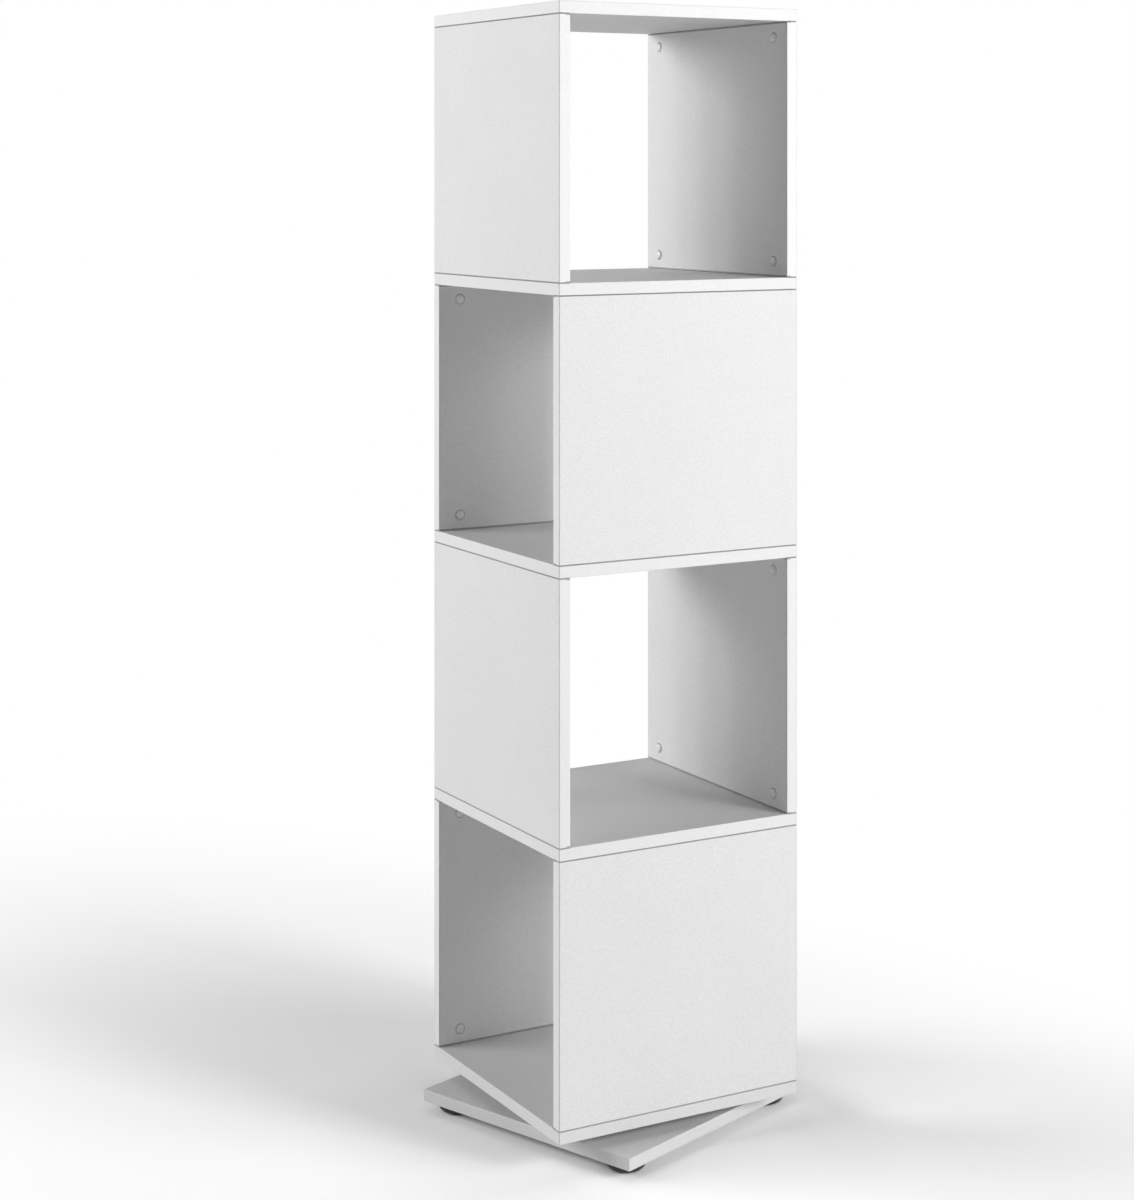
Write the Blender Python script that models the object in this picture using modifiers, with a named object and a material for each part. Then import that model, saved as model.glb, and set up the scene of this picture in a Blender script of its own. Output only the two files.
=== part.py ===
# Revolving bookcase: four open levels stacked in a square column, each level turned a quarter
# from the one below, on a ball-bearing swivel over a square base plate with four feet.
# Metres, +Z up. The origin is on the floor, on the axis that the column turns about.
# The column stands square to X and Y, and the base plate is turned under it.

import math

import bmesh
import bpy
from mathutils import Matrix, Vector

# Column: boards and side panels of faced chipboard
LEVEL_COUNT = 4
BOARD_SIDE = 0.360
BOARD_THICKNESS = 0.016
PANEL_HEIGHT = 0.339
PANEL_THICKNESS = 0.016

# Base plate and its turn about the axis, counter-clockwise from above
BASE_SIDE = 0.360
BASE_THICKNESS = 0.016
BASE_TURN_DEGREES = 20

# Rounded edges of every board, and the gap left wherever two pieces are seated
EDGE_RADIUS = 0.0008
EDGE_SEGMENTS = 2
SEAT_GAP = 0.0003

# Cam fitting: cover cap, cam and bolt
CAM_SIDE_INSET = 0.032        # from a panel's upright edge to the cam's axis
CAM_END_INSET = 0.020         # from a panel's end to the cam's axis
CAM_RADIUS = 0.0072
CAM_CLEARANCE = 0.0003
CAM_DEPTH_SHARE = 0.76        # of the panel's thickness
CAM_SIDES = 12
CAP_RADIUS = 0.0083
CAP_RISE = 0.0013
CAP_RINGS = 2
BOLT_RADIUS = 0.003
BOLT_CLEARANCE = 0.001
BOLT_BITE_SHARE = 0.65        # of the board's thickness
BOLT_SIDES = 8

# Swivel: two pressed plates with a ball track each, and the ball cage between them
RACE_RADIUS = 0.078           # from the axis to the balls' centres
BALL_RADIUS = 0.003
BALL_COUNT = 10
BALL_SEGMENTS = 8
BALL_RINGS = 6
RACE_CLEARANCE = 0.0005
SHEET_THICKNESS = 0.0015
TRACK_STANDOFF = 0.0018       # between a board and the underside of the track
PLATE_GAP = 0.0032            # between the two plates beside the balls
INNER_LAND = 0.0055           # from the track's edge to the collar
OUTER_LAND = 0.0115           # from the track's edge to the top of the pressed slope
SLOPE_RUN = 0.0035
FLANGE_MARGIN = 0.004         # from the foot of the slope to the plate's straight edge
FLANGE_CORNER_RADIUS = 0.012
CORNER_SEGMENTS = 3
COLLAR_CLEARANCE = 0.0012     # between the collar and the rim that turns round it
COLLAR_LIP = 0.0028           # how far the collar is rolled out over that rim
LIP_CLEARANCE = 0.0005
TRACK_STEPS = 3
SWIVEL_STEPS = 36
CAGE_THICKNESS = 0.0012
CAGE_BORDER = 0.0022          # cage beside a ball

# Screws of the swivel and of the feet
SCREW_INSET = 0.013           # from the swivel plate's straight edges to the screw
SCREW_RADIUS = 0.002
SCREW_HEAD_RADIUS = 0.0038
SCREW_HEAD_HEIGHT = 0.0024
SCREW_BITE_SHARE = 0.65       # of the thickness of the board that the screw holds in
SCREW_SIDES = 8

# Feet: turned glides with a rounded lower edge and a recess for the screw
FOOT_INSET = 0.0325           # from the base plate's edges to the foot's axis
FOOT_RADIUS = 0.026
FOOT_HEIGHT = 0.013
FOOT_SIDE_HEIGHT = 0.0033     # straight part of the side
FOOT_FLOOR_RADIUS = 0.0143
FOOT_RECESS_RADIUS = 0.0052
FOOT_RECESS_SHARE = 0.5       # of the foot's height
FOOT_STEPS = 16
FOOT_ROUND_STEPS = 4

# Overrun of a cutting tool past the face that it enters
OVERRUN = 0.002
MERGE_DISTANCE = 0.00001
SHARP_ANGLE = math.radians(35)

# Heights and places that follow from the sizes above
track_radius = BALL_RADIUS + RACE_CLEARANCE
track_half_width = math.sqrt(track_radius ** 2 - (PLATE_GAP / 2) ** 2)
swivel_half_height = track_radius + SHEET_THICKNESS + TRACK_STANDOFF
collar_radius = RACE_RADIUS - track_half_width - INNER_LAND
slope_top_radius = RACE_RADIUS + track_half_width + OUTER_LAND
slope_foot_radius = slope_top_radius + SLOPE_RUN
swivel_half_side = slope_foot_radius + FLANGE_MARGIN
screw_place = swivel_half_side - SCREW_INSET

base_bottom = FOOT_HEIGHT + SEAT_GAP
base_top = base_bottom + BASE_THICKNESS
swivel_middle = base_top + swivel_half_height
column_bottom = swivel_middle + swivel_half_height
level_pitch = BOARD_THICKNESS + PANEL_HEIGHT + 2 * SEAT_GAP

cam_side_place = BOARD_SIDE / 2 - CAM_SIDE_INSET
cam_depth = PANEL_THICKNESS * CAM_DEPTH_SHARE
bolt_bite = BOARD_THICKNESS * BOLT_BITE_SHARE
panel_place = BOARD_SIDE / 2 - PANEL_THICKNESS / 2
foot_place = BASE_SIDE / 2 - FOOT_INSET
foot_recess_depth = FOOT_HEIGHT * FOOT_RECESS_SHARE

UP = Vector((0, 0, 1))
DOWN = -UP
OUTWARD = Vector((1, 0, 0))    # from a panel's inner face into its level


def clear_scene():
    for old in list(bpy.data.objects):
        bpy.data.objects.remove(old, do_unlink=True)


def make_collection(name, for_cutters=False):
    group = bpy.data.collections.new(name)
    bpy.context.scene.collection.children.link(group)
    group.hide_render = for_cutters
    return group


def make_material(name, colour, roughness, metallic=0):
    material = bpy.data.materials.new(name)
    material.use_nodes = True
    shader = material.node_tree.nodes["Principled BSDF"]
    shader.inputs["Base Color"].default_value = (*colour, 1)
    shader.inputs["Roughness"].default_value = roughness
    shader.inputs["Metallic"].default_value = metallic
    return material


# Shapes

def object_from(name, mesh, group):
    piece = bpy.data.objects.new(name, mesh)
    group.objects.link(piece)
    return piece


def mesh_from(name, tool):
    mesh = bpy.data.meshes.new(name)
    tool.to_mesh(mesh)
    tool.free()
    return mesh


def rounded_box(name, size):
    """A board of the given size, centred on the origin, with its edges rounded."""
    tool = bmesh.new()
    bmesh.ops.create_cube(tool, size=1)
    bmesh.ops.scale(tool, vec=size, verts=tool.verts)
    board = object_from(name, mesh_from(name, tool), workshop)
    bevel = board.modifiers.new("rounded edges", "BEVEL")
    bevel.width = EDGE_RADIUS
    bevel.segments = EDGE_SEGMENTS
    bevel.limit_method = "NONE"
    return board


def turned(name, outline, steps, closed=False):
    """Turns an outline of (radius, height) points about Z. It runs down its outer side."""
    mesh = bpy.data.meshes.new(name)
    points = [(radius, 0, height) for radius, height in outline]
    edges = [(i, i + 1) for i in range(len(points) - 1)]
    if closed:
        edges.append((len(points) - 1, 0))
    mesh.from_pydata(points, edges, [])
    piece = object_from(name, mesh, workshop)
    screw = piece.modifiers.new("turn", "SCREW")
    screw.axis = "Z"
    screw.steps = steps
    screw.render_steps = steps
    screw.use_merge_vertices = True
    screw.merge_threshold = MERGE_DISTANCE
    screw.use_smooth_shade = True
    return piece


def combine(piece, tool, operation):
    """Cuts, joins or trims a piece with another object."""
    tool.hide_render = True
    tool.display_type = "WIRE"
    boolean = piece.modifiers.new(operation.lower(), "BOOLEAN")
    boolean.operation = operation
    boolean.object = tool
    boolean.solver = "EXACT"


def finished_mesh(piece, name):
    """The mesh of a piece with its modifiers, in the piece's own coordinates."""
    bpy.context.view_layer.update()
    shown = piece.evaluated_get(bpy.context.evaluated_depsgraph_get())
    mesh = bpy.data.meshes.new_from_object(shown)
    mesh.name = name
    mesh.materials.clear()
    mesh.shade_smooth()
    mesh.set_sharp_from_angle(angle=SHARP_ANGLE)
    return mesh


def add_rod(tool, start, direction, length, radius, sides):
    """Adds a round rod that runs from its start along a direction."""
    turn = direction.to_track_quat("Z", "Y").to_matrix().to_4x4()
    bmesh.ops.create_cone(
        tool,
        cap_ends=True,
        segments=sides,
        radius1=radius,
        radius2=radius,
        depth=length,
        matrix=Matrix.Translation(start + direction * (length / 2)) @ turn,
    )


def drills(name, bores):
    """One cutter for bores that don't meet: each has a mouth, a way in, a depth, a radius and sides."""
    tool = bmesh.new()
    for mouth, inward, depth, radius, sides in bores:
        add_rod(tool, mouth - inward * OVERRUN, inward, depth + OVERRUN, radius, sides)
    return object_from(name, mesh_from(name, tool), workshop)


def corners(distance):
    for x in (-distance, distance):
        for y in (-distance, distance):
            yield x, y


def at_corners(name, mesh, distance):
    """One object that holds a copy of a mesh at each corner of a square."""
    tool = bmesh.new()
    for x, y in corners(distance):
        mesh.transform(Matrix.Translation((x, y, 0)))
        tool.from_mesh(mesh)
        mesh.transform(Matrix.Translation((-x, -y, 0)))
    return object_from(name, mesh_from(name, tool), workshop)


def place(name, mesh, material, parent, location=(0, 0, 0), rotation=(0, 0, 0)):
    """Sets a finished piece in the bookcase, on the axis that its parent stands for."""
    if not mesh.materials:
        mesh.materials.append(material)
    piece = object_from(name, mesh, bookcase)
    piece.parent = parent
    piece.location = location
    piece.rotation_euler = rotation
    return piece


# Column

def panels_at_sides(level):
    """Levels count from the bottom. Every other one has its panels at the sides."""
    return level % 2 == 1


def bolt_bores(face_height, inward, at_sides):
    """Bores in one face of a board for the bolts of the two panels that meet it there."""
    bores = []
    for across in (-panel_place, panel_place):
        for along in (-cam_side_place, cam_side_place):
            x, y = (across, along) if at_sides else (along, across)
            mouth = Vector((x, y, face_height))
            bores.append((mouth, inward, bolt_bite + SEAT_GAP, BOLT_RADIUS + SEAT_GAP, BOLT_SIDES))
    return bores


def screw_bores(distance, face_height, inward, board_thickness):
    """Bores for four screws, at the corners of a square, in one face of a board."""
    depth = board_thickness * SCREW_BITE_SHARE + SEAT_GAP
    bores = []
    for x, y in corners(distance):
        mouth = Vector((x, y, face_height))
        bores.append((mouth, inward, depth, SCREW_RADIUS + SEAT_GAP, SCREW_SIDES))
    return bores


def level_board(index):
    """Board number index from the bottom, bored for what it meets below and above."""
    board = rounded_box("level board", (BOARD_SIDE, BOARD_SIDE, BOARD_THICKNESS))
    face = BOARD_THICKNESS / 2
    if index == 0:
        bores = screw_bores(screw_place, -face, UP, BOARD_THICKNESS)
    else:
        bores = bolt_bores(-face, UP, panels_at_sides(index - 1))
    if index < LEVEL_COUNT:
        bores += bolt_bores(face, DOWN, panels_at_sides(index))
    combine(board, drills("level board bores", bores), "DIFFERENCE")
    return finished_mesh(board, "level board")


def board_name(index):
    if index == 0:
        return "bottom_board"
    if index == LEVEL_COUNT:
        return "top_board"
    return "shelf_" + str(LEVEL_COUNT - index)


def add_boards(column, material):
    for index in range(LEVEL_COUNT + 1):
        middle = column_bottom + index * level_pitch + BOARD_THICKNESS / 2
        place(board_name(index), level_board(index), material, column, (0, 0, middle))


def cam_places():
    """Places of a panel's four cams: along the panel, height, and the way to the near end."""
    for along in (-cam_side_place, cam_side_place):
        yield along, CAM_END_INSET, -1
        yield along, PANEL_HEIGHT - CAM_END_INSET, 1


def panel_mesh():
    """A side panel with its inner face to +X and its lower end on the origin."""
    panel = rounded_box("side panel", (PANEL_THICKNESS, BOARD_SIDE, PANEL_HEIGHT))
    panel.data.transform(Matrix.Translation(UP * (PANEL_HEIGHT / 2)))
    pocket_radius = CAM_RADIUS + CAM_CLEARANCE
    pockets = []
    end_bores = []
    for along, height, end in cam_places():
        mouth = Vector((PANEL_THICKNESS / 2, along, height))
        pockets.append((mouth, -OUTWARD, cam_depth + SEAT_GAP, pocket_radius, CAM_SIDES))
        mouth = Vector((0, along, height + end * CAM_END_INSET))
        end_bores.append((mouth, UP * -end, CAM_END_INSET, BOLT_RADIUS + BOLT_CLEARANCE, BOLT_SIDES))
    combine(panel, drills("cam pockets", pockets), "DIFFERENCE")
    combine(panel, drills("panel end bores", end_bores), "DIFFERENCE")
    return finished_mesh(panel, "side panel")


def cap_dome():
    """Points down the cap's dome, from its crown to its rim, on a sphere."""
    sphere_radius = (CAP_RADIUS ** 2 + CAP_RISE ** 2) / (2 * CAP_RISE)
    for ring in range(CAP_RINGS + 1):
        radius = CAP_RADIUS * ring / CAP_RINGS
        height = math.sqrt(sphere_radius ** 2 - radius ** 2) - sphere_radius + CAP_RISE
        yield radius, height + SEAT_GAP


def fitting_mesh():
    """Cap, cam and bolt. The cap looks along +X, out of the panel, and the bolt runs up."""
    outline = list(cap_dome())
    outline += [(CAM_RADIUS, SEAT_GAP), (CAM_RADIUS, -cam_depth), (0, -cam_depth)]
    cam = turned("cam", outline, CAM_SIDES)
    tool = bmesh.new()
    bolt_start = Vector((0, 0, -PANEL_THICKNESS / 2))
    bolt_length = CAM_END_INSET + SEAT_GAP + bolt_bite
    add_rod(tool, bolt_start, Vector((0, 1, 0)), bolt_length, BOLT_RADIUS, BOLT_SIDES)
    combine(cam, object_from("bolt", mesh_from("bolt", tool), workshop), "UNION")
    mesh = finished_mesh(cam, "cam fitting")
    mesh.transform(OUTWARD.to_track_quat("Z", "Y").to_matrix().to_4x4())
    return mesh


def add_panels(column, board_material, cap_material):
    """Two panels to a level, on opposite sides, with four cam fittings in each."""
    panel = panel_mesh()
    fitting = fitting_mesh()
    for level in range(LEVEL_COUNT):
        floor = column_bottom + level * level_pitch + BOARD_THICKNESS + SEAT_GAP
        at_sides = panels_at_sides(level)
        first_turn = 0 if at_sides else math.pi / 2
        names = ("left", "right") if at_sides else ("front", "back")
        for number, side in enumerate(names):
            turn = first_turn + number * math.pi
            spin = Matrix.Rotation(turn, 3, "Z")
            label = str(LEVEL_COUNT - level) + "_" + side
            where = spin @ Vector((-panel_place, 0, floor))
            place("panel_" + label, panel, board_material, column, where, (0, 0, turn))
            inner_face = PANEL_THICKNESS / 2 - panel_place
            for count, (along, height, end) in enumerate(cam_places(), start=1):
                spot = spin @ Vector((inner_face, along, floor + height))
                tilt = 0 if end > 0 else math.pi
                name = "cam_" + label + "_" + str(count)
                place(name, fitting, cap_material, column, spot, (tilt, 0, turn))


# Swivel

def track_arc():
    """Points across the lower ball track from its inner edge to its outer edge."""
    edge_angle = math.asin(PLATE_GAP / 2 / track_radius)
    sweep = math.pi - 2 * edge_angle
    for step in range(TRACK_STEPS + 1):
        angle = edge_angle + sweep * step / TRACK_STEPS
        yield RACE_RADIUS - track_radius * math.cos(angle), -track_radius * math.sin(angle)


def plate_skin(rim):
    """The face of the lower plate that looks at the balls, from its inner rim to its flange."""
    corner_reach = swivel_half_side * math.sqrt(2)
    flange_height = SHEET_THICKNESS + SEAT_GAP - swivel_half_height
    slope = [
        (slope_top_radius, -PLATE_GAP / 2),
        (slope_foot_radius, flange_height),
        (corner_reach, flange_height),
    ]
    return rim + list(track_arc()) + slope


def screw_mesh(length):
    """A pan-head screw, head up, with the head's underside on the origin."""
    outline = [
        (0, SCREW_HEAD_HEIGHT),
        (SCREW_HEAD_RADIUS, SCREW_HEAD_HEIGHT),
        (SCREW_HEAD_RADIUS, 0),
        (SCREW_RADIUS, 0),
        (SCREW_RADIUS, -length),
        (0, -length),
    ]
    return finished_mesh(turned("screw", outline, SCREW_SIDES), "screw")


def plate_screws(board_thickness):
    """The four screws of a plate. Their heads are set in the flange that they hold down."""
    head_bottom = SHEET_THICKNESS - swivel_half_height
    point = -swivel_half_height - board_thickness * SCREW_BITE_SHARE
    screw = screw_mesh(head_bottom - point)
    screw.transform(Matrix.Translation(UP * head_bottom))
    return at_corners("plate screws", screw, screw_place)


def flange_outline():
    """A square block with rounded corners that trims the pressed disc to its plate."""
    tool = bmesh.new()
    bmesh.ops.create_cube(tool, size=1)
    height = 2 * (swivel_half_height + OVERRUN)
    bmesh.ops.scale(tool, vec=(2 * swivel_half_side, 2 * swivel_half_side, height), verts=tool.verts)
    upright = [edge for edge in tool.edges if abs(edge.verts[0].co.z - edge.verts[1].co.z) > 0]
    bmesh.ops.bevel(
        tool, geom=upright, affect="EDGES", offset=FLANGE_CORNER_RADIUS,
        segments=CORNER_SEGMENTS, profile=0.5, material=-1,
    )
    return object_from("flange outline", mesh_from("flange outline", tool), workshop)


def swivel_plate(name, skin, board_thickness):
    """A pressed plate: the turned skin, thickened away from the balls and cut square."""
    plate = turned(name, skin, SWIVEL_STEPS)
    sheet = plate.modifiers.new("sheet", "SOLIDIFY")
    sheet.thickness = SHEET_THICKNESS
    sheet.offset = -1
    sheet.use_even_offset = True
    combine(plate, flange_outline(), "INTERSECT")
    combine(plate, plate_screws(board_thickness), "UNION")
    return finished_mesh(plate, name)


def lower_plate_mesh():
    """The lower plate ends in a collar that is rolled out over the upper plate's rim."""
    lip_height = PLATE_GAP / 2 + SHEET_THICKNESS + LIP_CLEARANCE
    collar = [
        (collar_radius + COLLAR_CLEARANCE + COLLAR_LIP, lip_height),
        (collar_radius, lip_height),
        (collar_radius, -PLATE_GAP / 2),
    ]
    return swivel_plate("swivel lower plate", plate_skin(collar), BASE_THICKNESS)


def upper_plate_mesh():
    """The upper plate, as pressed, ends in a plain rim that runs round the collar."""
    rim = [(collar_radius + COLLAR_CLEARANCE, -PLATE_GAP / 2)]
    return swivel_plate("swivel upper plate", plate_skin(rim), BOARD_THICKNESS)


def cage_mesh():
    """The flat cage ring with its balls."""
    inner = RACE_RADIUS - BALL_RADIUS - CAGE_BORDER
    outer = RACE_RADIUS + BALL_RADIUS + CAGE_BORDER
    top = CAGE_THICKNESS / 2
    outline = [(inner, top), (outer, top), (outer, -top), (inner, -top)]
    cage = turned("ball cage", outline, SWIVEL_STEPS, closed=True)
    tool = bmesh.new()
    for ball in range(BALL_COUNT):
        turn = Matrix.Rotation(2 * math.pi * ball / BALL_COUNT, 4, "Z")
        bmesh.ops.create_uvsphere(
            tool, u_segments=BALL_SEGMENTS, v_segments=BALL_RINGS, radius=BALL_RADIUS,
            matrix=turn @ Matrix.Translation((RACE_RADIUS, 0, 0)),
        )
    combine(cage, object_from("balls", mesh_from("balls", tool), workshop), "UNION")
    return finished_mesh(cage, "ball cage")


def add_swivel(base, cage, column, material):
    centre = (0, 0, swivel_middle)
    place("swivel_lower_plate", lower_plate_mesh(), material, base, centre)
    place("swivel_ball_cage", cage_mesh(), material, cage, centre)
    place("swivel_upper_plate", upper_plate_mesh(), material, column, centre, (math.pi, 0, 0))


# Base

def base_plate_mesh():
    plate = rounded_box("base plate", (BASE_SIDE, BASE_SIDE, BASE_THICKNESS))
    face = BASE_THICKNESS / 2
    bores = screw_bores(screw_place, face, DOWN, BASE_THICKNESS)
    bores += screw_bores(foot_place, -face, UP, BASE_THICKNESS)
    combine(plate, drills("base plate bores", bores), "DIFFERENCE")
    return finished_mesh(plate, "base plate")


def foot_mesh():
    """A glide with its flat face on the floor at height zero."""
    hole_radius = SCREW_RADIUS + SEAT_GAP
    outline = [(hole_radius, FOOT_HEIGHT), (FOOT_RADIUS, FOOT_HEIGHT)]
    round_height = FOOT_HEIGHT - FOOT_SIDE_HEIGHT
    round_width = FOOT_RADIUS - FOOT_FLOOR_RADIUS
    for step in range(FOOT_ROUND_STEPS + 1):
        angle = math.pi / 2 * step / FOOT_ROUND_STEPS
        radius = FOOT_FLOOR_RADIUS + round_width * math.cos(angle)
        outline.append((radius, round_height - round_height * math.sin(angle)))
    outline += [
        (FOOT_RECESS_RADIUS, 0),
        (FOOT_RECESS_RADIUS, foot_recess_depth),
        (hole_radius, foot_recess_depth),
    ]
    return finished_mesh(turned("foot", outline, FOOT_STEPS, closed=True), "foot")


def add_base(base, board_material, foot_material, steel):
    plate_middle = base_bottom + BASE_THICKNESS / 2
    place("base_plate", base_plate_mesh(), board_material, base, (0, 0, plate_middle))
    foot = foot_mesh()
    head_height = foot_recess_depth - SEAT_GAP
    point_height = base_bottom + BASE_THICKNESS * SCREW_BITE_SHARE
    screw = screw_mesh(point_height - head_height)
    for number, (x, y) in enumerate(corners(foot_place), start=1):
        place("foot_" + str(number), foot, foot_material, base, (x, y, 0))
        head_down = (math.pi, 0, 0)
        place("foot_screw_" + str(number), screw, steel, base, (x, y, head_height), head_down)


def add_axis(name, turn=0):
    """An empty on the turning axis that carries one body of the bookcase."""
    axis = bpy.data.objects.new(name, None)
    bookcase.objects.link(axis)
    axis.rotation_euler = (0, 0, turn)
    return axis


clear_scene()
bookcase = make_collection("Revolving bookcase")
workshop = make_collection("Cutters", for_cutters=True)

white_board = make_material("White faced board", (0.86, 0.86, 0.86), 0.45)
white_cap = make_material("White cap plastic", (0.84, 0.84, 0.84), 0.35)
black_foot = make_material("Black foot plastic", (0.02, 0.02, 0.022), 0.5)
zinc_steel = make_material("Zinc-plated steel", (0.62, 0.63, 0.65), 0.35, metallic=1)

base_axis = add_axis("base_axis", math.radians(BASE_TURN_DEGREES))
cage_axis = add_axis("cage_axis")
column_axis = add_axis("column_axis")

add_base(base_axis, white_board, black_foot, zinc_steel)
add_swivel(base_axis, cage_axis, column_axis, zinc_steel)
add_boards(column_axis, white_board)
add_panels(column_axis, white_board, white_cap)

for used_tool in list(workshop.objects):
    bpy.data.objects.remove(used_tool, do_unlink=True)
bpy.data.collections.remove(workshop)
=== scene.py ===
import math

import bmesh
import bpy
from mathutils import Matrix, Vector


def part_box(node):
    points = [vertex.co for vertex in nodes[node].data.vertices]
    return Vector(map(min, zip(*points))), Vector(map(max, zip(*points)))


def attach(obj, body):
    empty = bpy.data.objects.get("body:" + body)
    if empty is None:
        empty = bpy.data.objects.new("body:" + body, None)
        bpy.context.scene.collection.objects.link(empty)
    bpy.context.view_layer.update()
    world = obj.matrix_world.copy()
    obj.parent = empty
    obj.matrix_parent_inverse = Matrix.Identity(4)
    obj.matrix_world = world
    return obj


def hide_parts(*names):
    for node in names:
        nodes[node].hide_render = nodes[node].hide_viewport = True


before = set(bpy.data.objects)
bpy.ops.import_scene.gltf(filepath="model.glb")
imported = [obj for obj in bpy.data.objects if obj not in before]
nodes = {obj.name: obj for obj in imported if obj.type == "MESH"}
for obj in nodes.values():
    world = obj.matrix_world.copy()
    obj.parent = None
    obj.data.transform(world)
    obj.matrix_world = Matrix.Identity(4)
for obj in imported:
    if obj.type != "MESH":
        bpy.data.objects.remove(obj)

scene = bpy.context.scene
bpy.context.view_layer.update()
print("frame loaded,", len(nodes), "nodes")


# Camera: level, at the height that the photograph was taken from, with the picture shifted down
cameraValues = {
    "sensor": 36,
    "lens": 73.446,
    "place": (-1.65801, -2.87597, 1.26710),
    "turn": -29.5387,                   # degrees, from looking along +Y
    "shift": (-0.022229, -0.357757),
}


def setCamera(values):
    data = bpy.data.cameras.new("photo camera")
    data.sensor_width = values["sensor"]
    data.lens = values["lens"]
    data.shift_x, data.shift_y = values["shift"]
    camera = bpy.data.objects.new("photo camera", data)
    camera.location = values["place"]
    camera.rotation_euler = (math.pi / 2, 0, math.radians(values["turn"]))
    scene.collection.objects.link(camera)
    scene.camera = camera


setCamera(cameraValues)
print("camera set")


# Nodes of a material, written as sums
softEnd = 0.15      # share of a width, on either side of its end, over which it fades out


class Field:
    def __init__(self, finish, socket):
        self.finish = finish
        self.socket = socket

    def worked(self, operation, first, second=0.0):
        return self.finish.add("ShaderNodeMath", {"operation": operation}, {0: first, 1: second})

    def __add__(self, other):
        return self.worked("ADD", self, other)

    __radd__ = __add__

    def __sub__(self, other):
        return self.worked("SUBTRACT", self, other)

    def __rsub__(self, other):
        return self.worked("SUBTRACT", other, self)

    def __mul__(self, other):
        return self.worked("MULTIPLY", self, other)

    __rmul__ = __mul__

    def __abs__(self):
        return self.worked("ABSOLUTE", self)

    def largest(self, other):
        return self.worked("MAXIMUM", self, other)

    def smallest(self, other):
        return self.worked("MINIMUM", self, other)

    def rise(self, low, high):
        # 0 up to low, 1 from high on, with a soft ramp between them
        return self.finish.add(
            "ShaderNodeMapRange",
            {"interpolation_type": "SMOOTHSTEP"},
            {"Value": self, "From Min": low, "From Max": high},
        )

    def line(self, middle, width):
        # 1 on a thin line at the middle value, 0 a width away
        return 1 - abs(self - middle).rise(0.0, width)

    def within(self, width):
        # 1 up to the width, 0 past it
        return 1 - self.rise(width * (1 - softEnd), width * (1 + softEnd))


class Finish:
    def __init__(self, holder):
        # the holder is a new material, or the world
        holder.use_nodes = True
        self.holder = holder
        self.tree = holder.node_tree
        self.tree.nodes.clear()

    def add(self, kind, settings=None, sockets=None, out=0):
        # any node: its type, its settings, then its sockets' values or links
        node = self.tree.nodes.new(kind)
        for setting, value in (settings or {}).items():
            setattr(node, setting, value)
        for key, value in (sockets or {}).items():
            if isinstance(value, Field):
                self.tree.links.new(value.socket, node.inputs[key])
            else:
                node.inputs[key].default_value = value
        if isinstance(out, tuple):
            return [Field(self, node.outputs[name]) for name in out]
        if out is not None:
            return Field(self, node.outputs[out])

    def place(self, turn=0.0):
        # the piece's own coordinates, turned back by an angle about Z
        place = self.add("ShaderNodeTexCoord", out="Object")
        if turn:
            sockets = {"Vector": place, "Rotation": (0, 0, -turn)}
            place = self.add("ShaderNodeMapping", None, sockets)
        return place

    def noise(self, place, scale, detail, roughness):
        sockets = {"Vector": place, "Scale": scale, "Detail": detail, "Roughness": roughness}
        return self.add("ShaderNodeTexNoise", None, sockets, "Fac")

    def mixed(self, share, first, second):
        sockets = {0: share, 6: first, 7: second}
        return self.add("ShaderNodeMix", {"data_type": "RGBA"}, sockets, 2)

    def bump(self, height, distance):
        sockets = {"Height": height, "Distance": distance, "Strength": 1.0}
        return self.add("ShaderNodeBump", None, sockets)

    def cover(self, sockets):
        shader = self.add("ShaderNodeBsdfPrincipled", None, sockets)
        self.add("ShaderNodeOutputMaterial", None, {0: shader}, None)
        return self.holder


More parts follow.
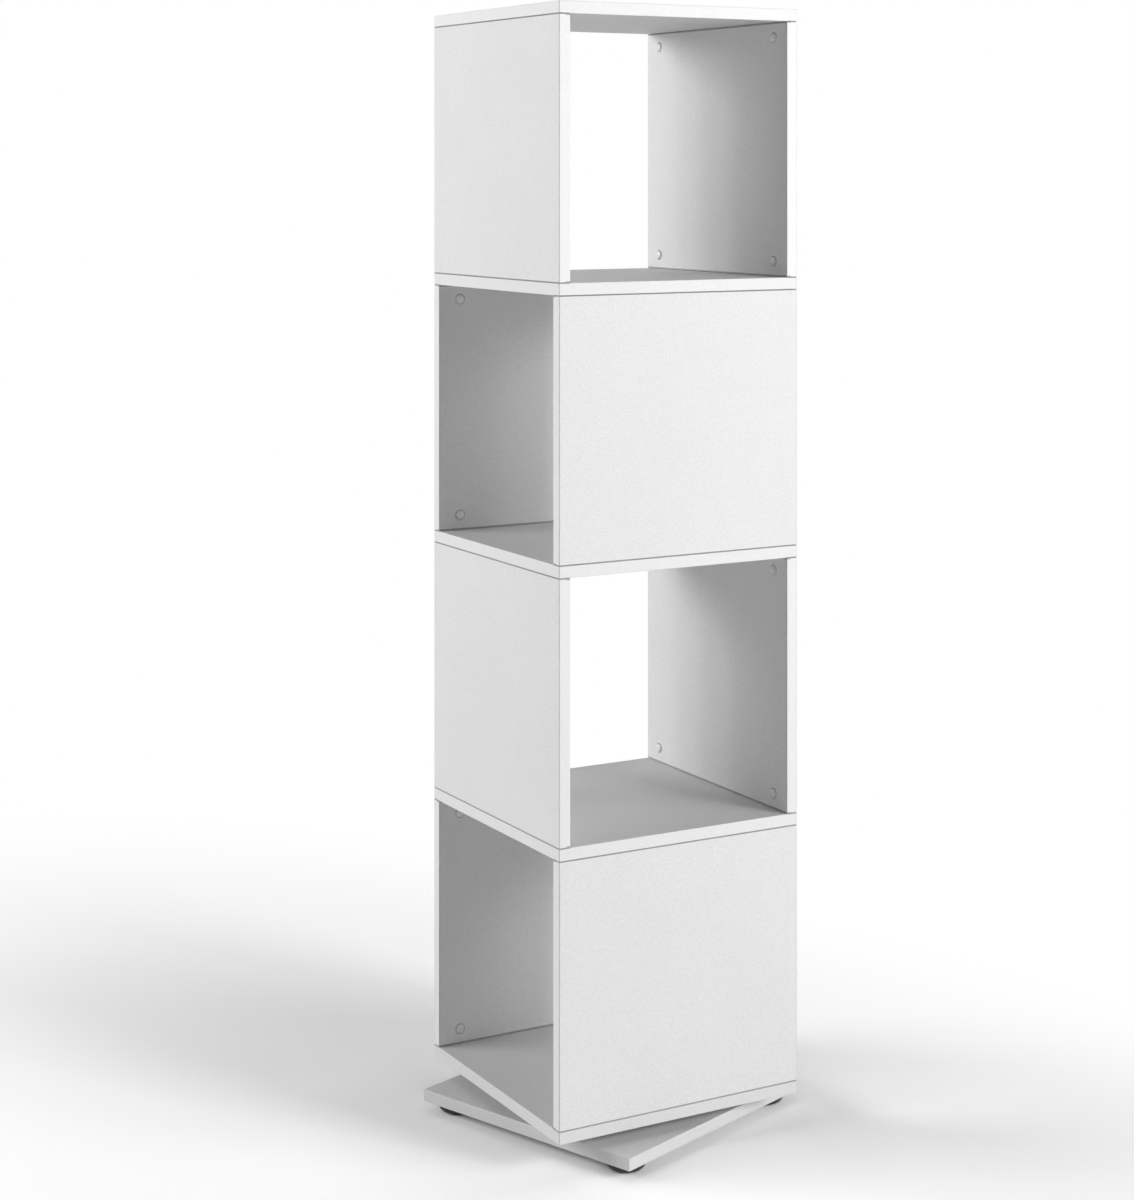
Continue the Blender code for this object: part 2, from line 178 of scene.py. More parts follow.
# White faced boards: a fine pearl, edge strips with a hairline, painted shade at joints and
# corners
boardValues = {
    "halfSide": 0.180,
    "baseTurn": math.radians(20),
    # darkest and palest of the grain; the boards' flat faces are set darker, a painted shade
    "panelFace": ((0.742, 0.742, 0.742, 1), (0.838, 0.838, 0.838, 1)),
    "shadedBoardFace": ((0.646, 0.646, 0.646, 1), (0.762, 0.762, 0.762, 1)),
    # the base's face is darker, a painted shade towards the floor
    "shadedBaseFace": ((0.608, 0.608, 0.608, 1), (0.718, 0.718, 0.718, 1)),
    "strip": (0.845, 0.845, 0.845),
    # the top board's and the top panels' strips are lighter, a painted light
    "litTopStrip": (0.885, 0.885, 0.885),
    # the bottom board's and the base's strips are darker, a painted shade towards the floor
    "shadedBottomStrip": (0.770, 0.770, 0.770),
    "shadedBaseStrip": (0.720, 0.720, 0.720),
    "stripGrain": (0.97, 1.03),         # how far the grain dims and lifts a strip
    "seam": (0.62, 0.62, 0.62, 1),
    # painted shade in the grooves of the joints and in the strips' inner corners
    "joint": (0.43, 0.43, 0.43, 1),
    # painted shade on the rounded vertical corners
    "corner": (0.50, 0.50, 0.50, 1),
    # how much of the face each of these covers
    "stripShare": 0.8,
    "seamShare": 0.6,
    "cornerShadeShare": 0.8,
    "innerShadeShare": 0.85,
    "stripThickness": 0.0009,
    "seamPlace": 1.15,                  # in thicknesses of a strip, from the edge
    "seamWidth": 0.00022,
    "roundedEdge": 0.0009,
    "innerEdge": 0.0021,
    # depths from a panel's outer face
    "innerFace": (0.0090, 0.0108),      # where the wider band of painted shade on its inner face starts
    "innerCorner": (0.0148, 0.0154),    # where the strip turns inward, with painted shade on the right and back panels
    # noises: scale, detail and roughness
    "grain": (410, 2.0, 0.55),
    "cloud": (9, 3.0, 0.5),
    "grainShare": 0.83,
    "cloudShare": 0.17,
    "toneRamp": (0.25, 0.75),
    "pearlScale": 1150,
    "pearlSoftness": 0.7,
    "pearlDepth": 0.000016,
    "grainRelief": 0.6,
    "stripCalm": 0.7,                   # how much flatter a strip is
    "gloss": (0.50, 0.62),              # least and most roughness
    "stripGloss": 0.05,                 # how much less rough a strip is
    "shine": 0.40,
    "panelSides": {  # the axis across the panels that stand on a board, and under it
        "top_board": (None, "x"), "shelf_1": ("x", "y"), "shelf_2": ("y", "x"),
        "shelf_3": ("x", "y"), "bottom_board": ("y", None), "base_plate": (None, None),
    },
}


def jointShadeMask(values, name, z, inset):
    # painted shade where a panel's ends meet a board, or a board's edges meet the panels above and
    # under it
    low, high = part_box(name)
    if name.startswith("panel_"):
        toEnd = (z - low.z).smallest(high.z - z)
        depth = inset["x" if name.endswith(("_left", "_right")) else "y"]
        # a wider band of painted shade on the inner face, next to the board
        innerShadeLine = toEnd.within(values["innerEdge"]) * depth.rise(*values["innerFace"])
        return toEnd.within(values["roundedEdge"]).largest(innerShadeLine)
    panelLow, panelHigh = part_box("panel_1_left")
    lines = []
    for side, depth in zip(values["panelSides"][name], (high.z - z, z - low.z)):
        if side:
            across, along = inset[side], inset["y" if side == "x" else "x"]
            foot = across.within(panelHigh.x - panelLow.x) * along.within(values["roundedEdge"])
            reach = across.within(values["roundedEdge"]).largest(foot)
            lines.append(depth.within(values["roundedEdge"]) * reach)
    return lines[0].largest(lines[1]) if len(lines) == 2 else lines[0]


def boardTones(values, name):
    # the darkest and palest tone of a face, and the tone of its edge strips, with painted light at
    # the top and painted shade on the boards and towards the floor
    if name == "base_plate":
        return values["shadedBaseFace"], values["shadedBaseStrip"]
    tones = values["panelFace" if name.startswith("panel_") else "shadedBoardFace"]
    if name == "bottom_board":
        return tones, values["shadedBottomStrip"]
    if name == "top_board" or name.startswith("panel_1"):
        return tones, values["litTopStrip"]
    return tones, values["strip"]


def boardFinish(values, name):
    finish = Finish(bpy.data.materials.new("white board of " + name))
    place = finish.place(values["baseTurn"] if name == "base_plate" else 0.0)
    x, y, z = finish.add("ShaderNodeSeparateXYZ", None, {0: place}, ("X", "Y", "Z"))
    inset = {"x": values["halfSide"] - abs(x), "y": values["halfSide"] - abs(y)}
    if name.endswith(("_left", "_right")):
        toSide = inset["y"]
    elif name.endswith(("_front", "_back")):
        toSide = inset["x"]
    else:
        toSide = inset["x"].smallest(inset["y"])
    tones, stripTone = boardTones(values, name)
    strip = toSide.within(values["stripThickness"])
    seam = toSide.line(values["stripThickness"] * values["seamPlace"], values["seamWidth"])
    grain = finish.noise(place, *values["grain"])
    cloud = finish.noise(place, *values["cloud"])
    blend = grain * values["grainShare"] + cloud * values["cloudShare"]
    tone = blend.rise(*values["toneRamp"])
    face = finish.mixed(tone, *tones)
    low, high = values["stripGrain"]
    sockets = {0: stripTone, "Scale": low + (high - low) * tone}
    edge = finish.add("ShaderNodeVectorMath", {"operation": "SCALE"}, sockets)
    face = finish.mixed(strip * values["stripShare"], face, edge)
    face = finish.mixed(seam * values["seamShare"], face, values["seam"])
    if name != "base_plate":
        # painted shade on the rounded vertical corners
        corner = inset["x"].largest(inset["y"]).within(values["roundedEdge"])
        face = finish.mixed(corner * values["cornerShadeShare"], face, values["corner"])
        # painted shade on the inner corners of the strips of the right and back panels
        if name.endswith(("_right", "_back")):
            depth = inset["x" if name.endswith("_right") else "y"]
            inner = depth.rise(*values["innerCorner"]) * strip
            face = finish.mixed(inner * values["innerShadeShare"], face, values["joint"])
        # painted shade in the grooves where panels and boards meet
        face = finish.mixed(jointShadeMask(values, name, z, inset), face, values["joint"])
    sockets = {
        "Vector": place, "Scale": values["pearlScale"], "Smoothness": values["pearlSoftness"],
    }
    pearl = finish.add("ShaderNodeTexVoronoi", {"feature": "SMOOTH_F1"}, sockets, "Distance")
    relief = (pearl + grain * values["grainRelief"]) * (1 - strip * values["stripCalm"])
    low, high = values["gloss"]
    rough = low + (high - low) * (cloud * 0.5 + grain * 0.5) - strip * values["stripGloss"]
    return finish.cover({
        "Base Color": face,
        "Roughness": rough,
        "Specular IOR Level": values["shine"],
        "Normal": finish.bump(relief, values["pearlDepth"]),
    })


def dressBoards(values):
    for name, node in nodes.items():
        if name.startswith("panel_") or name in values["panelSides"]:
            node.material_slots[0].material = boardFinish(values, name)


dressBoards(boardValues)
print("boards dressed")


# Mesh tools
mergeDistance = 0.000002
cutTolerance = 0.0000005


def spun(bm, outline, steps, matrix=Matrix.Identity(4)):
    # turns a line of (radius, height) points about Z, then sets the shape in its place
    corners = [bm.verts.new((radius, 0, height)) for radius, height in outline]
    sides = [bm.edges.new(pair) for pair in zip(corners, corners[1:])]
    before = set(bm.verts) - set(corners)
    bmesh.ops.spin(
        bm, geom=corners + sides, cent=(0, 0, 0), axis=(0, 0, 1), dvec=(0, 0, 0),
        angle=2 * math.pi, steps=steps, use_merge=True,
    )
    made = [vert for vert in bm.verts if vert not in before]
    bmesh.ops.transform(bm, matrix=matrix, verts=made)


def finishedPiece(name, bm, material, sharpAngle=30):
    bmesh.ops.remove_doubles(bm, verts=bm.verts, dist=mergeDistance)
    bmesh.ops.recalc_face_normals(bm, faces=bm.faces)
    mesh = bpy.data.meshes.new(name)
    bm.to_mesh(mesh)
    bm.free()
    mesh.materials.append(material)
    mesh.shade_smooth()
    mesh.set_sharp_from_angle(angle=math.radians(sharpAngle))
    piece = bpy.data.objects.new(name, mesh)
    scene.collection.objects.link(piece)
    return piece


# Cam fittings: a domed cap with a groove and a thin collar, the cam under it and its bolt
capValues = {
    "cap": [  # radius and height over the panel's face: the dome, the groove and the collar
        (0, 0.00300), (0.0010, 0.00295), (0.0020, 0.00282), (0.0030, 0.00258), (0.0040, 0.00225),
        (0.0050, 0.00180), (0.0056, 0.00145), (0.0060, 0.00110), (0.0062, 0.00070),
        (0.0063, 0.00020), (0.0063, -0.0016), (0.0072, -0.0016), (0.0072, 0.00004),
        (0.0073, 0.00012), (0.0075, 0.00012), (0.0076, 0.00004), (0.0072, 0.00002),
        (0.0072, -0.0020),
    ],
    "capSteps": 40,
    "camRadius": 0.0072,
    "camDepth": 0.01216,
    "camEdge": 0.0005,
    "endInset": 0.020,
    "bolt": [  # radius and distance along the bolt, from the cam to the thread
        (0, 0), (0.0030, 0), (0.0030, 0.0016), (0.0021, 0.0024), (0.0021, 0.0080),
        (0.0030, 0.0086), (0.0030, 0.0204),
    ],
    "boltLine": 0.0080,                 # depth of the bolt's axis under the panel's face
    "boltRadius": 0.0030,
    "boltLength": 0.0307,
    "boltSteps": 16,
    "threadStart": 0.0212,
    "threadPitch": 0.0012,
    "threadRoot": 0.00216,
    "tipRadius": 0.0015,
    "face": ((0.80, 0.80, 0.80, 1), (0.84, 0.84, 0.84, 1)),
    "mottle": (900, 2.0, 0.5),          # noise: scale, detail and roughness
    "mottleDepth": 0.000008,
    "gloss": (0.22, 0.06),              # least roughness, and what the mottle adds
}


def capFinish(values):
    finish = Finish(bpy.data.materials.new("white cap plastic"))
    mottle = finish.noise(finish.place(), *values["mottle"])
    least, more = values["gloss"]
    return finish.cover({
        "Base Color": finish.mixed(mottle, *values["face"]),
        "Roughness": least + mottle * more,
        "Normal": finish.bump(mottle, values["mottleDepth"]),
    })


def boltOutline(values):
    # from the cam to the point, with the thread's ridges in the board
    outline = list(values["bolt"])
    height, pitch, end = values["threadStart"], values["threadPitch"], values["boltLength"]
    while height + pitch < end:
        outline += [(values["threadRoot"], height), (values["boltRadius"], height + pitch / 2)]
        height += pitch
    return outline + [(values["threadRoot"], height), (values["tipRadius"], end), (0, end)]


def fittingShape(values, matrix):
    radius, depth, edge = values["camRadius"], values["camDepth"], values["camEdge"]
    camOutline = [
        (radius, values["cap"][-1][1]), (radius, -depth + edge), (radius - edge, -depth),
        (0, -depth),
    ]
    boltTurn = Matrix.Rotation(-math.pi / 2, 4, "X")
    boltPlace = Matrix.Translation((0, 0, -values["boltLine"])) @ boltTurn
    bm = bmesh.new()
    spun(bm, values["cap"] + camOutline, values["capSteps"])
    spun(bm, boltOutline(values), values["boltSteps"], boltPlace)
    bmesh.ops.transform(bm, matrix=matrix, verts=bm.verts)
    return bm


def addFittings(values, material):
    count = 0
    for name in sorted(nodes):
        if not name.startswith("cam_"):
            continue
        panelLow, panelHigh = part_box("panel_" + name.split("_", 1)[1].rsplit("_", 1)[0])
        camLow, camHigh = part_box(name)
        camMiddle = (camLow + camHigh) / 2
        thin = 0 if panelHigh.x - panelLow.x < panelHigh.y - panelLow.y else 1
        inward = Vector((0, 0, 0))
        inward[thin] = -1 if camMiddle[thin] > 0 else 1
        spot = camMiddle.copy()
        spot[thin] = panelHigh[thin] if inward[thin] > 0 else panelLow[thin]
        up = camMiddle.z > (panelLow.z + panelHigh.z) / 2
        spot.z = panelHigh.z - values["endInset"] if up else panelLow.z + values["endInset"]
        along = Vector((0, 0, 1 if up else -1))
        turn = Matrix((along.cross(inward), along, inward)).transposed().to_4x4()
        bm = fittingShape(values, Matrix.Translation(spot) @ turn)
        piece = finishedPiece("fitting" + name[3:], bm, material)
        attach(piece, "column")
        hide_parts(name)
        count += 1
    print("cam fittings made:", count)


addFittings(capValues, capFinish(capValues))


# Feet: round black glides, with a flat underside and a recess for the screw
footValues = {
    "outline": [  # radius and height, from the hole at the top, round the outside, to the recess
        (0.0023, 0.0130), (0.0250, 0.0130), (0.0257, 0.0127), (0.0260, 0.0121), (0.0260, 0.0100),
        (0.02585, 0.0087), (0.0253, 0.0070), (0.0243, 0.0052), (0.0229, 0.0034), (0.0209, 0.0018),
        (0.0185, 0.0007), (0.0163, 0.0002), (0.0143, 0.0), (0.0057, 0.0), (0.0052, 0.0005),
        (0.0052, 0.0065), (0.0023, 0.0065),
    ],
    "steps": 96,
    "sharpAngle": 40,
    "face": ((0.016, 0.016, 0.017, 1), (0.028, 0.028, 0.029, 1)),
    "scuffTone": (0.09, 0.09, 0.09, 1),
    # noises: scale, detail and roughness
    "mottle": (1400, 3.0, 0.6),
    "scuff": (160, 4.0, 0.7),
    "scuffRamp": (0.52, 0.72),
    "scuffHeight": (0.001, 0.006),      # the scuffs fade out between these heights
    "scuffShare": 0.35,
    "mottleDepth": 0.00002,
    "gloss": (0.42, 0.14, 0.1),         # least roughness, and what mottle and scuffs add
}


def footFinish(values):
    finish = Finish(bpy.data.materials.new("black foot plastic"))
    place = finish.place()
    z = finish.add("ShaderNodeSeparateXYZ", None, {0: place}, "Z")
    mottle = finish.noise(place, *values["mottle"])
    scuff = finish.noise(place, *values["scuff"]).rise(*values["scuffRamp"])
    scuff = scuff * (1 - z.rise(*values["scuffHeight"]))
    face = finish.mixed(mottle, *values["face"])
    least, more, scuffed = values["gloss"]
    return finish.cover({
        "Base Color": finish.mixed(scuff * values["scuffShare"], face, values["scuffTone"]),
        "Roughness": least + mottle * more + scuff * scuffed,
        "Normal": finish.bump(mottle, values["mottleDepth"]),
    })


def addFeet(values, material):
    for name in sorted(nodes):
        if not name.startswith("foot_") or name.startswith("foot_screw"):
            continue
        low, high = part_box(name)
        middle = (low + high) / 2
        outline = values["outline"] + values["outline"][:1]
        bm = bmesh.new()
        spun(bm, outline, values["steps"], Matrix.Translation((middle.x, middle.y, low.z)))
        piece = finishedPiece("glide" + name[4:], bm, material, values["sharpAngle"])
        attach(piece, "base")
        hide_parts(name)
    print("feet made")


addFeet(footValues, footFinish(footValues))


# Zinc-plated steel, and the bright steel of the balls
steelValues = {
    # noises: scale, detail and roughness
    "cloud": (120, 4.0, 0.6),
    "speck": (1500, 2.0, 0.6),
    "speckDepth": 0.000006,
    "speckGloss": 0.06,
    # darkest and palest tone, least and most roughness
    "zinc": ((0.50, 0.52, 0.54, 1), (0.68, 0.69, 0.70, 1), 0.26, 0.40),
    "ball": ((0.62, 0.62, 0.63, 1), (0.70, 0.70, 0.71, 1), 0.08, 0.14),
}


def steelFinish(values, kind, name):
    finish = Finish(bpy.data.materials.new(name))
    place = finish.place()
    cloud = finish.noise(place, *values["cloud"])
    speck = finish.noise(place, *values["speck"])
    dark, pale, low, high = values[kind]
    return finish.cover({
        "Base Color": finish.mixed(cloud, dark, pale),
        "Metallic": 1.0,
        "Roughness": low + (high - low) * cloud + speck * values["speckGloss"],
        "Normal": finish.bump(speck, values["speckDepth"]),
    })


zincSteel = steelFinish(steelValues, "zinc", "zinc-plated steel")
ballSteel = steelFinish(steelValues, "ball", "ball steel")


# Screws: pan heads with a cross recess
screwValues = {
    "head": [  # radius and height over the head's underside
        (0.0026, 0.0024), (0.0032, 0.00215), (0.0036, 0.0017), (0.0038, 0.0010), (0.0038, 0.0),
    ],
    "shankRadius": 0.0020,
    "pointLength": 0.003,
    "crossReach": 0.0017,
    "crossHalfWidth": 0.00042,
    "crossDepth": 0.0014,
    "crossTaper": 0.6,
    "steps": 24,
}


def crossCorners(values):
    # round the cross, two at the end of each arm and one in the crook after it
    reach, half, top = values["crossReach"], values["crossHalfWidth"], values["head"][0][1]
    corners = []
    for quarter in range(4):
        turn = Matrix.Rotation(math.pi / 2 * quarter, 3, "Z")
        for corner in ((reach, -half, top), (reach, half, top), (half, half, top)):
            corners.append(turn @ Vector(corner))
    return corners


def addScrew(bm, values, length, matrix):
    # head up, with the underside of the head on the origin
    shank = values["shankRadius"]
    outline = values["head"] + [
        (shank, 0.0), (shank, -length + values["pointLength"]), (0, -length),
    ]
    part = bmesh.new()
    spun(part, outline, values["steps"])
    bmesh.ops.remove_doubles(part, verts=part.verts, dist=mergeDistance)
    rim = [edge for edge in part.edges if edge.is_boundary]
    corners = [part.verts.new(corner) for corner in crossCorners(values)]
    cross = [part.edges.new(pair) for pair in zip(corners, corners[1:] + corners[:1])]
    bmesh.ops.triangle_fill(part, edges=rim + cross, use_beauty=True)
    walls = bmesh.ops.extrude_edge_only(part, edges=cross)["geom"]
    floorVerts = [item for item in walls if isinstance(item, bmesh.types.BMVert)]
    floorEdges = [item for item in walls if isinstance(item, bmesh.types.BMEdge)]
    taper = values["crossTaper"]
    bmesh.ops.translate(part, vec=(0, 0, -values["crossDepth"]), verts=floorVerts)
    bmesh.ops.scale(part, vec=(taper, taper, 1), verts=floorVerts)
    bmesh.ops.contextual_create(part, geom=[edge for edge in floorEdges if edge.is_boundary])
    bmesh.ops.transform(part, matrix=matrix, verts=part.verts)
    copied = bpy.data.meshes.new("screw")
    part.to_mesh(copied)
    part.free()
    bm.from_mesh(copied)
    bpy.data.meshes.remove(copied)


# Swivel: two pressed plates with a ball track each, and the cage with its balls between them
swivelValues = {
    "middle": 0.0361,                   # height of the balls' centres
    "halfHeight": 0.0068,
    "raceRadius": 0.078,
    "ballRadius": 0.0030,
    "trackRadius": 0.0035,
    "halfGap": 0.0016,                  # half the gap between the plates
    "sheet": 0.0015,
    "seat": 0.0003,
    "innerLand": 0.0055,
    "outerLand": 0.0115,
    "slopeRun": 0.0035,
    "bend": (0.0006, 0.0003, 0.0002),   # a bend's ends, flat and on the slope, and its depth
    "flangeMargin": 0.0040,
    "cornerRadius": 0.012,
    "collarClearance": 0.0012,
    "collarLip": 0.0028,
    "lipClearance": 0.0005,
    "lipBend": (0.0007, 0.0002),        # its ends and its middle, from the collar's corner
    "edgeRounding": 0.0003,
    "roundingSteps": 2,
    "roundedFrom": math.radians(60),
    "screwInset": 0.013,
    "screwBite": 0.0104,
    "trackSteps": 10,                   # with more, the sheet's far side folds at the track's edge
    "cornerSteps": 8,
    "steps": 120,
    "ballCount": 24,
    "ballSteps": (20, 12),
    "cageThickness": 0.0012,
    "cageHalfWidth": 0.0052,
    "pocketRadius": 0.0032,
    "pocketSteps": 16,                  # as many as the edges round a sector of the cage
    "sectorSteps": 4,
    "sectorJoin": 0.00001,
}


def plateSkin(values, rim):
    # the face that looks at the balls, from the inner rim over the track to the flange's corner
    gap, radius = values["halfGap"], values["trackRadius"]
    edgeAngle = math.asin(gap / radius)
    track = []
    for step in range(values["trackSteps"] + 1):
        angle = edgeAngle + (math.pi - 2 * edgeAngle) * step / values["trackSteps"]
        track.append((values["raceRadius"] - radius * math.cos(angle), -radius * math.sin(angle)))
    slopeTop = track[-1][0] + values["outerLand"]
    slopeFoot = slopeTop + values["slopeRun"]
    halfSide = slopeFoot + values["flangeMargin"]
    flange = values["sheet"] + values["seat"] - values["halfHeight"]
    flat, slope, depth = values["bend"]
    skin = rim(track[0][0] - values["innerLand"]) + track
    skin += [
        (slopeTop - flat, -gap), (slopeTop + slope, -gap - depth),
        (slopeFoot - slope, flange + depth), (slopeFoot + flat, flange),
        (halfSide * math.sqrt(2), flange),
    ]
    return skin, halfSide


def cutSquare(bm, halfSide, cornerRadius, steps):
    # trims a turned disc to a square with rounded corners
    inner = halfSide - cornerRadius
    for quarter in range(4):
        middle = math.pi / 2 * (quarter + 0.5)
        signs = math.copysign(1, math.cos(middle)), math.copysign(1, math.sin(middle))
        corner = Vector((inner * signs[0], inner * signs[1], 0))
        for step in range(steps + 1):
            angle = math.pi / 2 * (quarter + step / steps)
            outward = Vector((math.cos(angle), math.sin(angle), 0))
            bmesh.ops.bisect_plane(
                bm, geom=bm.verts[:] + bm.edges[:] + bm.faces[:], dist=cutTolerance,
                plane_co=corner + outward * cornerRadius, plane_no=outward, clear_outer=True,
            )


def plateMesh(values, name, skin, halfSide, matrix):
    bm = bmesh.new()
    spun(bm, skin, values["steps"])
    bmesh.ops.remove_doubles(bm, verts=bm.verts, dist=mergeDistance)
    cutSquare(bm, halfSide, values["cornerRadius"], values["cornerSteps"])
    bmesh.ops.recalc_face_normals(bm, faces=bm.faces)
    outerFace = max(bm.faces, key=lambda face: face.calc_center_median().to_2d().length)
    if outerFace.normal.z < 0:
        bmesh.ops.reverse_faces(bm, faces=bm.faces)
    bmesh.ops.transform(bm, matrix=matrix, verts=bm.verts)
    mesh = bpy.data.meshes.new(name)
    bm.to_mesh(mesh)
    bm.free()
    mesh.materials.append(zincSteel)
    mesh.shade_smooth()
    return mesh


def platePiece(values, name, rim, body, matrix):
    skin, halfSide = plateSkin(values, rim)
    piece = bpy.data.objects.new(name, plateMesh(values, name, skin, halfSide, matrix))
    scene.collection.objects.link(piece)
    sheet = piece.modifiers.new("sheet", "SOLIDIFY")
    sheet.thickness = values["sheet"]
    sheet.offset = -1
    sheet.use_even_offset = True
    rounding = piece.modifiers.new("rounded edges", "BEVEL")
    rounding.width = values["edgeRounding"]
    rounding.segments = values["roundingSteps"]
    rounding.limit_method = "ANGLE"
    rounding.angle_limit = values["roundedFrom"]
    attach(piece, body)
    screws = bmesh.new()
    place = halfSide - values["screwInset"]
    head = values["sheet"] - values["halfHeight"]
    length = head + values["halfHeight"] + values["screwBite"]
    for x in (-place, place):
        for y in (-place, place):
            seat = Matrix.Translation((x, y, head + values["seat"]))
            addScrew(screws, screwValues, length, matrix @ seat)
    screwPiece = finishedPiece(name + "Screws", screws, zincSteel)
    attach(screwPiece, body)
    return piece


def addPlates(values):
    def collar(radius):
        lip = values["halfGap"] + values["sheet"] + values["lipClearance"]
        end, middle = values["lipBend"]
        return [
            (radius + values["collarClearance"] + values["collarLip"], lip),
            (radius + end, lip), (radius + middle, lip - middle), (radius, lip - end),
            (radius, -values["halfGap"]),
        ]

    def plainRim(radius):
        return [(radius + values["collarClearance"], -values["halfGap"])]

    middle = Matrix.Translation((0, 0, values["middle"]))
    upright = middle @ Matrix.Rotation(boardValues["baseTurn"], 4, "Z")
    lower = platePiece(values, "lowerPlate", collar, "base", upright)
    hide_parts("swivel_lower_plate")
    upended = middle @ Matrix.Rotation(math.pi, 4, "X")
    upper = platePiece(values, "upperPlate", plainRim, "column", upended)
    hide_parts("swivel_upper_plate")
    print("swivel plates made")


def cageSector(values):
    # a sector of the ring with a round pocket, flat as yet
    bm = bmesh.new()
    steps = values["sectorSteps"]
    grid = bmesh.ops.create_grid(bm, x_segments=steps, y_segments=steps, size=1)["verts"]
    inside = [vert for vert in grid if not vert.is_boundary]
    bmesh.ops.delete(bm, geom=inside, context="VERTS")
    bmesh.ops.delete(bm, geom=bm.faces[:], context="FACES_ONLY")
    outline = bm.edges[:]
    halfSector = math.pi / values["ballCount"]
    for vert in bm.verts:
        radius = values["raceRadius"] + vert.co.x * values["cageHalfWidth"]
        angle = vert.co.y * halfSector
        vert.co = (radius * math.cos(angle), radius * math.sin(angle), 0)
    centre = Matrix.Translation((values["raceRadius"], 0, 0))
    pocket = bmesh.ops.create_circle(
        bm, segments=values["pocketSteps"], radius=values["pocketRadius"], matrix=centre,
    )["verts"]
    pocketEdges = list({edge for vert in pocket for edge in vert.link_edges})
    bmesh.ops.bridge_loops(bm, edges=outline + pocketEdges)
    return bm


def addCage(values):
    # the sector repeated round the ring, then given its thickness
    bm = cageSector(values)
    bmesh.ops.spin(
        bm, geom=bm.verts[:] + bm.edges[:] + bm.faces[:], cent=(0, 0, 0), axis=(0, 0, 1),
        angle=2 * math.pi, steps=values["ballCount"], use_duplicate=True, dvec=(0, 0, 0),
    )
    bmesh.ops.remove_doubles(bm, verts=bm.verts, dist=values["sectorJoin"])
    height = values["middle"] + values["cageThickness"] / 2
    bmesh.ops.translate(bm, vec=(0, 0, height), verts=bm.verts)
    cage = finishedPiece("cageRing", bm, zincSteel)
    sheet = cage.modifiers.new("sheet", "SOLIDIFY")
    sheet.thickness = values["cageThickness"]
    sheet.offset = -1 if cage.data.polygons[0].normal.z > 0 else 1
    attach(cage, "ball_cage")
    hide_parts("swivel_ball_cage")
    bm = bmesh.new()
    around, upwards = values["ballSteps"]
    for ball in range(values["ballCount"]):
        turn = Matrix.Rotation(2 * math.pi * ball / values["ballCount"], 4, "Z")
        place = turn @ Matrix.Translation((values["raceRadius"], 0, values["middle"]))
        bmesh.ops.create_uvsphere(
            bm, u_segments=around, v_segments=upwards, radius=values["ballRadius"], matrix=place,
        )
    balls = finishedPiece("cageBalls", bm, ballSteel)
    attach(balls, "ball_cage")
    print("ball cage made")


addPlates(swivelValues)
addCage(swivelValues)


def addFootScrews(values):
    head = values["head"][0][1]
    for name in sorted(nodes):
        if not name.startswith("foot_screw"):
            continue
        low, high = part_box(name)
        middle = (low + high) / 2
        seat = Matrix.Translation((middle.x, middle.y, low.z + head))
        bm = bmesh.new()
        addScrew(bm, values, high.z - low.z - head, seat @ Matrix.Rotation(math.pi, 4, "X"))
        piece = finishedPiece("footScrew" + name[-2:], bm, zincSteel)
        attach(piece, "base")
        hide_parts(name)
    print("foot screws made")


addFootScrews(screwValues)


# Stage: a floor that keeps the shadow, has painted shadow round the base and runs out into white;
# white world, softboxes
stageValues = {
    "floorReach": 30.0,
    "floorSteps": 96,
    "floorColour": (0.80, 0.80, 0.80, 1),
    "seenColour": (1.39, 1.39, 1.39, 1),
    "paintedShadowColour": (1.17, 1.17, 1.17, 1),    # darker close round the base, a painted shadow where the cast shadow is deepest
    "paintedShadowMiddle": (-0.047, -0.058, 0),
    "paintedShadowRing": (0.114, 0.446),
    "whiteTurn": math.radians(12.1),        # the floor runs out into white in a long oval
    "whiteStretch": (1.568, 0.638, 1),
    "whiteMiddle": (-0.237, -0.330, 0),
    "whiteRing": (0.566, 1.654),
    "worldLight": 0.15,
}
lampValues = {
    "aim": (0, 0, 0.75),
    "away": 5.0,
    "size": 1.2,
    "banks": {  # direction round the object and height in degrees, power in watts
        "left": [(140, 18, 45.3), (150, 18, 40.6), (160, 18, 43.3), (170, 4, 25.0)],
        "right": [(295, 4, 53.0), (295, 18, 71.9), (305, 18, 32.4), (315, 18, 33.5)],
    },
}


def rayIsSeen(finish):
    camera, glossy, through = finish.add(
        "ShaderNodeLightPath", None, None,
        ("Is Camera Ray", "Is Glossy Ray", "Is Transmission Ray"),
    )
    return camera.largest(glossy).largest(through)


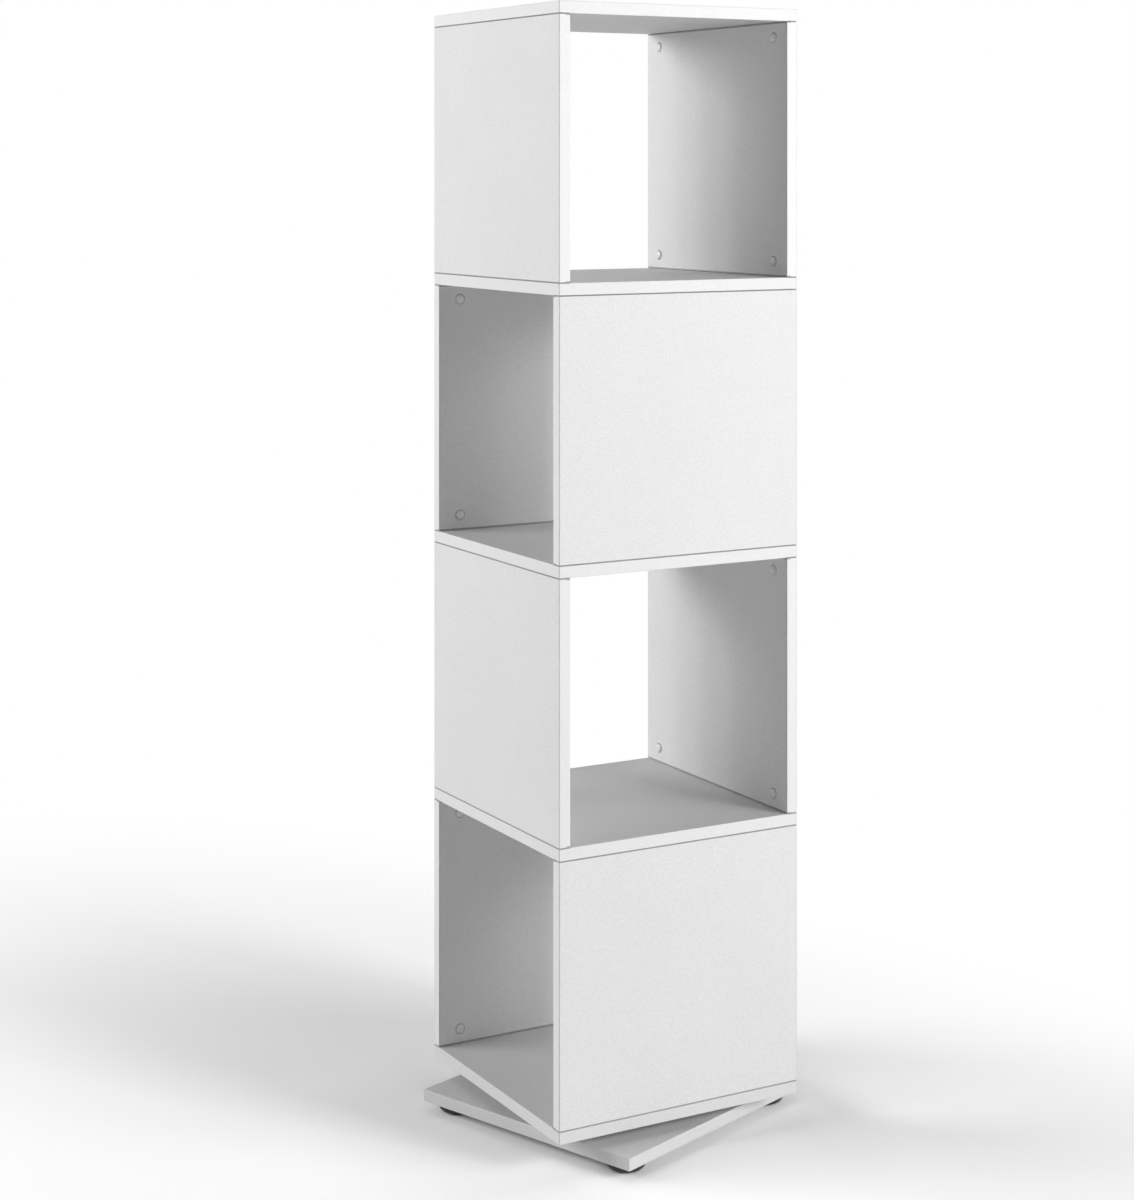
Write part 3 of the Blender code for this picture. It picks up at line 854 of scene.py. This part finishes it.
def makeFloor(values):
    finish = Finish(bpy.data.materials.new("pale floor"))
    sockets = {0: finish.place(values["whiteTurn"]), 1: values["whiteStretch"]}
    oval = finish.add("ShaderNodeVectorMath", {"operation": "MULTIPLY"}, sockets)
    sockets = {0: oval, 1: values["whiteMiddle"]}
    away = finish.add("ShaderNodeVectorMath", {"operation": "DISTANCE"}, sockets, "Value")
    sockets = {0: finish.place(), 1: values["paintedShadowMiddle"]}
    fromShadowMiddle = finish.add("ShaderNodeVectorMath", {"operation": "DISTANCE"}, sockets, "Value")
    # painted shadow: the floor is darker close round the base
    ring = fromShadowMiddle.rise(*values["paintedShadowRing"])
    tone = finish.mixed(ring, values["paintedShadowColour"], values["seenColour"])
    lit = finish.add("ShaderNodeBsdfDiffuse", None, {"Color": values["floorColour"]})
    near = finish.add("ShaderNodeBsdfDiffuse", None, {"Color": tone})
    white = finish.add("ShaderNodeEmission", None, {"Strength": 1.0})
    sockets = {0: away.rise(*values["whiteRing"]), 1: near, 2: white}
    seen = finish.add("ShaderNodeMixShader", None, sockets)
    both = finish.add("ShaderNodeMixShader", None, {0: rayIsSeen(finish), 1: lit, 2: seen})
    finish.add("ShaderNodeOutputMaterial", None, {0: both}, None)
    bm = bmesh.new()
    bmesh.ops.create_circle(
        bm, cap_ends=True, segments=values["floorSteps"], radius=values["floorReach"],
    )
    floor = finishedPiece("floor", bm, finish.holder)


def makeWorld(values):
    world = bpy.data.worlds.new("white studio")
    finish = Finish(world)
    light = values["worldLight"]
    sockets = {"Color": (1, 1, 1, 1), "Strength": light + (1 - light) * rayIsSeen(finish)}
    background = finish.add("ShaderNodeBackground", None, sockets)
    finish.add("ShaderNodeOutputWorld", None, {0: background}, None)
    scene.world = world


def makeLamps(values):
    for side, bank in values["banks"].items():
        for azimuth, height, power in bank:
            around, above = math.radians(azimuth), math.radians(height)
            flat = math.cos(above)
            towards = Vector((flat * math.cos(around), flat * math.sin(around), math.sin(above)))
            data = bpy.data.lights.new(side + " softbox", "AREA")
            data.size = values["size"]
            data.energy = power
            lamp = bpy.data.objects.new(side + " softbox", data)
            lamp.location = Vector(values["aim"]) + towards * values["away"]
            lamp.rotation_euler = towards.to_track_quat("Z", "Y").to_euler()
            lamp.visible_camera = False
            scene.collection.objects.link(lamp)


makeFloor(stageValues)
makeWorld(stageValues)
makeLamps(lampValues)
print("stage lit")

scene.view_settings.view_transform = "Standard"


print("finished")
